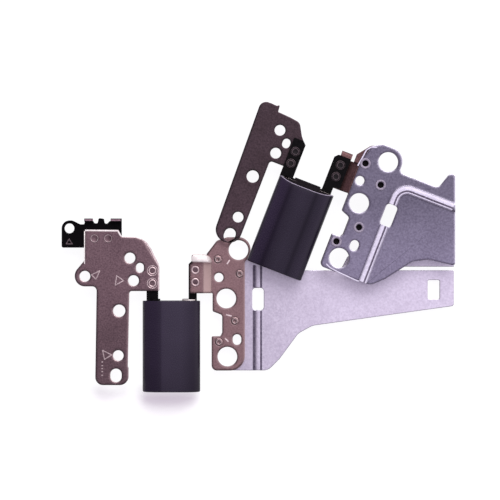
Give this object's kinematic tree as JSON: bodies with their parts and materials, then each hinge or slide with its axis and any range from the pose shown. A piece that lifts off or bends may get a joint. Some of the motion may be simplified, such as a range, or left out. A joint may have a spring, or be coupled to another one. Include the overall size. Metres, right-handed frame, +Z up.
{
  "type": "laptop hinge pair",
  "caption": "Pair of dual-shaft laptop hinges with geared covers, drilled lid and base brackets and long steel base plates, one laid across the other.",
  "frame": {"origin": "middle of the box around both hinges, at the table they lie on", "axes": "+X from the left hinge's lid bracket towards the far end of its steel plate, +Y along the left hinge's shafts, +Z up from the table"},
  "size_m": [0.1068, 0.0782, 0.0081],
  "materials": {
    "black_cover": "satin black",
    "black_shaft": "blackened",
    "black_clip": "black coated",
    "brown_bracket": "dark bronze-tinted plating, finely mottled",
    "zinc_sheet": "zinc-coated, soft sheen",
    "rivet_head": "plated",
    "plate_steel": "plain",
    "spring_steel": "oiled",
    "gear_brass": "plain"
  },
  "bodies": {
    "bases": {"left_base_gear": "gear_brass", "left_base_shaft": "black_shaft", "left_base_discs": "plate_steel", "left_base_springs": "spring_steel", "left_base_nut": "spring_steel", "left_base_rivets": "rivet_head", "left_base_bracket": "brown_bracket", "left_steel_plate": "zinc_sheet", "left_plate_rivets": "brown_bracket", "right_base_gear": "gear_brass", "right_base_shaft": "black_shaft", "right_base_discs": "plate_steel", "right_base_springs": "spring_steel", "right_base_nut": "spring_steel", "right_base_rivets": "rivet_head", "right_base_bracket": "brown_bracket", "right_steel_plate": "zinc_sheet", "right_plate_rivets": "brown_bracket"},
    "left_link": {"left_cover": "black_cover", "left_end_plate": "plate_steel", "left_inner_plate": "plate_steel", "left_friction_plates": "plate_steel"},
    "left_lid": {"left_lid_gear": "gear_brass", "left_lid_shaft": "black_shaft", "left_lid_discs": "plate_steel", "left_lid_springs": "spring_steel", "left_lid_nut": "spring_steel", "left_lid_rivets": "rivet_head", "left_lid_bracket": "brown_bracket", "left_cable_clip": "black_clip", "left_clip_rivets": "rivet_head"},
    "left_base_pinion": {"left_base_idler": "gear_brass"},
    "left_lid_pinion": {"left_lid_idler": "gear_brass"},
    "right_link": {"right_cover": "black_cover", "right_end_plate": "plate_steel", "right_inner_plate": "plate_steel", "right_friction_plates": "plate_steel"},
    "right_lid": {"right_lid_gear": "gear_brass", "right_lid_shaft": "black_shaft", "right_lid_discs": "plate_steel", "right_lid_springs": "spring_steel", "right_lid_nut": "spring_steel", "right_lid_rivets": "rivet_head", "right_lid_bracket": "brown_bracket"},
    "right_base_pinion": {"right_base_idler": "gear_brass"},
    "right_lid_pinion": {"right_lid_idler": "gear_brass"}
  },
  "joints": [
    {"name": "left_base_fold", "type": "hinge", "parent": "bases", "child": "left_link", "pos_m": [-0.01911, -0.01447, 0.0031], "axis": [0, 1, 0], "range_deg": [-90, 90]},
    {"name": "left_lid_fold", "type": "hinge", "parent": "left_link", "child": "left_lid", "pos_m": [-0.02851, -0.01447, 0.0031], "axis": [0, 1, 0], "range_deg": [-90, 90]},
    {"name": "left_base_pinion_spin", "type": "hinge", "parent": "left_link", "child": "left_base_pinion", "pos_m": [-0.02247, -0.01447, 0.0031], "axis": [0, 1, 0], "range_deg": [-135, 135]},
    {"name": "left_lid_pinion_spin", "type": "hinge", "parent": "left_link", "child": "left_lid_pinion", "pos_m": [-0.02516, -0.01447, 0.0031], "axis": [0, 1, 0], "range_deg": [-135, 135]},
    {"name": "right_base_fold", "type": "hinge", "parent": "bases", "child": "right_link", "pos_m": [0.01708, 0.01489, 0.00495], "axis": [0.3616, 0.9323, 0], "range_deg": [0, 90]},
    {"name": "right_lid_fold", "type": "hinge", "parent": "right_link", "child": "right_lid", "pos_m": [0.00831, 0.01829, 0.00495], "axis": [0.3616, 0.9323, 0], "range_deg": [0, 90]},
    {"name": "right_base_pinion_spin", "type": "hinge", "parent": "right_link", "child": "right_base_pinion", "pos_m": [0.01395, 0.01611, 0.00495], "axis": [0.3616, 0.9323, 0], "range_deg": [0, 135]},
    {"name": "right_lid_pinion_spin", "type": "hinge", "parent": "right_link", "child": "right_lid_pinion", "pos_m": [0.01144, 0.01708, 0.00495], "axis": [0.3616, 0.9323, 0], "range_deg": [-135, 0]}
  ],
  "couplings": [
    {"joint": "left_lid_fold", "follows": "left_base_fold", "ratio": 1},
    {"joint": "left_base_pinion_spin", "follows": "left_base_fold", "ratio": 1.5},
    {"joint": "left_lid_pinion_spin", "follows": "left_base_fold", "ratio": -1.5},
    {"joint": "right_lid_fold", "follows": "right_base_fold", "ratio": 1},
    {"joint": "right_base_pinion_spin", "follows": "right_base_fold", "ratio": 1.5},
    {"joint": "right_lid_pinion_spin", "follows": "right_base_fold", "ratio": -1.5}
  ]
}
